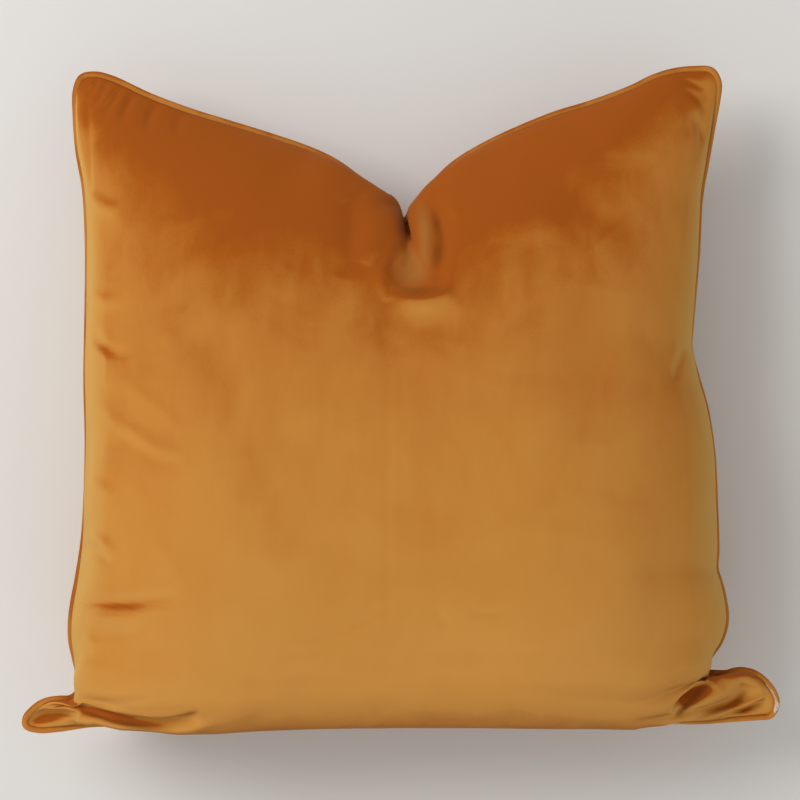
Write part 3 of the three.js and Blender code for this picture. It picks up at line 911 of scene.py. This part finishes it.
class Shading:
    """The nodes of a material or of the world, with a short call for each kind that is used."""

    def __init__(self, owner):
        owner.use_nodes = True
        self.nodes = owner.node_tree.nodes
        self.links = owner.node_tree.links

    def coordinates(self):
        """Where a point is, in several spaces, and which way it faces."""
        return self.nodes.new("ShaderNodeTexCoord").outputs

    def apart(self, vector):
        """A vector's x, y and z."""
        node = self.nodes.new("ShaderNodeSeparateXYZ")
        self.links.new(vector, node.inputs["Vector"])
        return node.outputs

    def combined(self, operation, *values):
        """The values brought together by one arithmetic operation."""
        total = values[0]
        for value in values[1:]:
            node = self.nodes.new("ShaderNodeMath")
            node.operation = operation
            self.links.new(total, node.inputs[0])
            self.links.new(value, node.inputs[1])
            total = node.outputs["Value"]
        return total

    def absolute(self, value):
        node = self.nodes.new("ShaderNodeMath")
        node.operation = "ABSOLUTE"
        self.links.new(value, node.inputs[0])
        return node.outputs["Value"]

    def ranged(self, value, lows, highs, easing="LINEAR"):
        """A value brought from the range lows to the range highs, and held inside it."""
        node = self.nodes.new("ShaderNodeMapRange")
        node.interpolation_type = easing
        set_values(node, dict(zip(("From Min", "From Max", "To Min", "To Max"), (*lows, *highs))))
        self.links.new(value, node.inputs["Value"])
        return node.outputs["Result"]

    def noise(self, place, scale, detail, distortion, times):
        """Noise over a place in metres, from 0 to 1."""
        mapping = self.nodes.new("ShaderNodeMapping")
        mapping.inputs["Scale"].default_value = times
        self.links.new(place, mapping.inputs["Vector"])
        node = self.nodes.new("ShaderNodeTexNoise")
        set_values(node, {"Scale": scale, "Detail": detail, "Distortion": distortion})
        self.links.new(mapping.outputs["Vector"], node.inputs["Vector"])
        return node.outputs["Fac"]

    def uneven(self, place, kind, highs):
        """The used span of one kind of noise, brought to the range highs."""
        return self.ranged(self.noise(place, *kind), NOISE_SPAN, highs)

    def soft_spots(self, place, rows):
        """The strengths of soft-edged spots, one for each row."""
        strengths = []
        for row in rows:
            spot = dict(zip(SPOT_COLUMNS, row))
            mapping = self.nodes.new("ShaderNodeMapping")
            mapping.vector_type = "TEXTURE"
            set_values(mapping, {
                "Location": np.array((spot["x"], spot["y"], SPOT_HEIGHT)) * MM,
                "Rotation": (0, 0, np.radians(spot["turn"])),
                "Scale": np.array((spot["wide"], spot["high"], SPOT_DEEP)) * MM,
            })
            self.links.new(place, mapping.inputs["Vector"])
            away = self.nodes.new("ShaderNodeVectorMath")
            away.operation = "LENGTH"
            self.links.new(mapping.outputs["Vector"], away.inputs[0])
            fading = (spot["strength"], 0)
            strengths.append(self.ranged(away.outputs["Value"], (0, 1), fading, "SMOOTHSTEP"))
        return strengths

    def mixed(self, share, colour, other):
        """The colour with a share of another, fixed one."""
        node = self.nodes.new("ShaderNodeMix")
        node.data_type = "RGBA"
        node.inputs["B"].default_value = other
        self.links.new(share, node.inputs["Factor"])
        self.links.new(colour, node.inputs["A"])
        return node.outputs["Result"]

    def ramp(self, value, tones):
        """The colour at a value among the tones, each with its place from 0 to 1."""
        node = self.nodes.new("ShaderNodeValToRGB")
        stops = node.color_ramp.elements
        while len(stops) < len(tones):
            stops.new(0.5)
        for stop, (at, tone) in zip(stops, tones):
            stop.position = at
            stop.color = tone
        self.links.new(value, node.inputs["Fac"])
        return node.outputs["Color"]


def new_material(name):
    """A material, its shading, and the surface node that its colour goes to."""
    material = bpy.data.materials.new(name)
    shading = Shading(material)
    return material, shading, shading.nodes["Principled BSDF"]


def nap_sheen_lean(shading, place, nap, streaked, brushed_and_shaded):
    """How far the surface leans along the nap, which the painted sheen and shade follow, in patches and
    streaks, tuft by tuft, and in spots of brush marks and of painted shade in the folds."""
    with_surface = shading.nodes.new("ShaderNodeVectorMath")
    with_surface.operation = "DOT_PRODUCT"
    with_surface.inputs[1].default_value = nap
    shading.links.new(place["Normal"], with_surface.inputs[0])
    where = place["Object"]
    patches = shading.uneven(where, PATCHES, (-PATCH_TONE, PATCH_TONE))
    streaks = shading.uneven(where, STREAKS, (-streaked, streaked))
    pile = shading.uneven(where, PILE, (-PILE_TONE, PILE_TONE))
    marks = shading.soft_spots(where, brushed_and_shaded)
    return shading.combined("ADD", with_surface.outputs["Value"], patches, streaks, pile, *marks)


def painted_flank_sheen(shading, colour, place, leaning):
    """The colour made paler with painted sheen on the steep sides near the left and right edges."""
    sideways = shading.absolute(shading.apart(place["Normal"])["X"])
    from_middle = shading.absolute(shading.apart(place["Object"])["X"])
    steep = shading.ranged(sideways, FLANK_STEEP, (0, 1))
    turned = shading.ranged(leaning, FLANK_LEAN, FLANK_SHARE)
    outer = shading.ranged(from_middle, FLANK_OUT, (FLANK_INSIDE, 1))
    return shading.mixed(shading.combined("MULTIPLY", steep, turned, outer), colour, FLANK_SHEEN_AND_STAIN_TONE)


def tan_painted_sheen(shading, colour, where):
    """The colour made an even tan of painted sheen in shade under the notch."""
    tan_share = shading.combined("ADD", *shading.soft_spots(where, TAN_SHEEN_SPOTS))
    return shading.mixed(tan_share, colour, TAN_SHEEN_TONE)


def painted_shade_in_folds(shading, colour, where):
    """The colour darkened with painted shade along the stitches and deep in the folds."""
    from_seam = shading.nodes.new("ShaderNodeAttribute")
    from_seam.attribute_name = "from_seam"
    by_seam = shading.ranged(from_seam.outputs["Fac"], SEAM_LINE, (SEAM_SHARE, 0))
    in_folds = shading.combined("ADD", *shading.soft_spots(where, DEEP))
    return shading.mixed(shading.combined("MAXIMUM", by_seam, in_folds), colour, PAINTED_SHADE_TONE)


def velvet(name, nap, shift, streaked, on_panels):
    """Short-pile cotton velvet with painted sheen and shade: deep orange where it faces up the cushion and
    golden where it faces down, with streaks. On the panels it also has paler painted sheen on steep
    sides, brush marks, an even tan of painted sheen under the notch, and painted shade in the folds and
    along the stitches."""
    material, shading, surface = new_material(name)
    place = shading.coordinates()
    where = place["Object"]
    leaning = nap_sheen_lean(shading, place, nap, streaked, BRUSHED_AND_SHADED if on_panels else [])
    golden = shading.ranged(leaning, (LEAN_DARK - shift, LEAN_GOLD - shift), (0, 1))
    colour = shading.ramp(golden, VELVET_SHEEN_AND_SHADE_TONES)
    if on_panels:
        colour = painted_flank_sheen(shading, colour, place, leaning)
        colour = tan_painted_sheen(shading, colour, where)
        colour = painted_shade_in_folds(shading, colour, where)
    shading.links.new(colour, surface.inputs["Base Color"])
    tufts = shading.nodes.new("ShaderNodeBump")
    set_values(tufts, {"Strength": TUFT_STRENGTH, "Distance": TUFT_HEIGHT})
    shading.links.new(shading.noise(where, *TUFTS), tufts.inputs["Height"])
    shading.links.new(tufts.outputs["Normal"], surface.inputs["Normal"])
    set_values(surface, VELVET_FINISH)
    return material


def thread_cotton():
    """Undyed cotton thread, stained by the velvet in places."""
    material, shading, surface = new_material("thread")
    undyed = shading.nodes.new("ShaderNodeRGB").outputs["Color"]
    undyed.default_value = THREAD_TONE
    stained = shading.uneven(shading.coordinates()["Object"], FIBRES, (0, THREAD_STAIN))
    shading.links.new(shading.mixed(stained, undyed, FLANK_SHEEN_AND_STAIN_TONE), surface.inputs["Base Color"])
    set_values(surface, {"Roughness": THREAD_ROUGHNESS})
    return material


def make_floor():
    material, _, surface = new_material("floor")
    set_values(surface, {"Base Color": FLOOR_TONE, "Roughness": FLOOR_ROUGHNESS})
    bpy.ops.mesh.primitive_plane_add(size=FLOOR_SIZE)
    floor = bpy.context.object
    floor.name = "floor"
    floor.data.materials.append(material)


def add_lamp(name, place, size, power, colour):
    light = bpy.data.lights.new(name, "AREA")
    light.shape = "DISK"
    light.size = size
    light.energy = power
    light.color = colour
    lamp = bpy.data.objects.new(name, light)
    lamp.location = place
    aim = Vector(LAMP_AIM) - Vector(place)
    lamp.rotation_euler = aim.to_track_quat("-Z", "Y").to_euler()
    bpy.context.scene.collection.objects.link(lamp)


def fill_light():
    """The soft light from all round, stronger from one side than from the other."""
    world = bpy.data.worlds.new("studio")
    bpy.context.scene.world = world
    shading = Shading(world)
    background = shading.nodes["Background"]
    background.inputs["Color"].default_value = FILL_TONE
    direction = shading.apart(shading.coordinates()["Generated"])
    strength = shading.ranged(direction["X"], (-1, 1), FILL_LEFT_RIGHT)
    shading.links.new(strength, background.inputs["Strength"])


def make_camera():
    camera = bpy.data.cameras.new("camera")
    camera.sensor_width = SENSOR_WIDTH
    camera.lens = SENSOR_WIDTH * CAMERA_HEIGHT / VIEW_WIDTH
    camera.clip_end = CAMERA_REACH
    eye = bpy.data.objects.new("camera", camera)
    eye.location = (0, 0, (SEAM_HEIGHT + CAMERA_HEIGHT) * MM)
    bpy.context.scene.collection.objects.link(eye)
    bpy.context.scene.camera = eye
    bpy.context.scene.view_settings.view_transform = "Standard"


seam = make_seam()
cover = make_cover(seam)
piping = make_piping(seam)
threads = make_threads(seam)
cover.data.materials.append(velvet("velvet", NAP, 0, PANEL_STREAKS, True))
piping.data.materials.append(velvet("piping", PIPING_NAP, PIPING_SHIFT, PIPING_STREAKS, False))
threads.data.materials.append(thread_cotton())
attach(threads, "root")
for piece, node, slot in ((cover, "cover", "velvet"), (piping, "piping", "piping")):
    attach(piece, "root")
    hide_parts(node)
make_floor()
for lamp in LAMPS:
    add_lamp(*lamp)
fill_light()
make_camera()
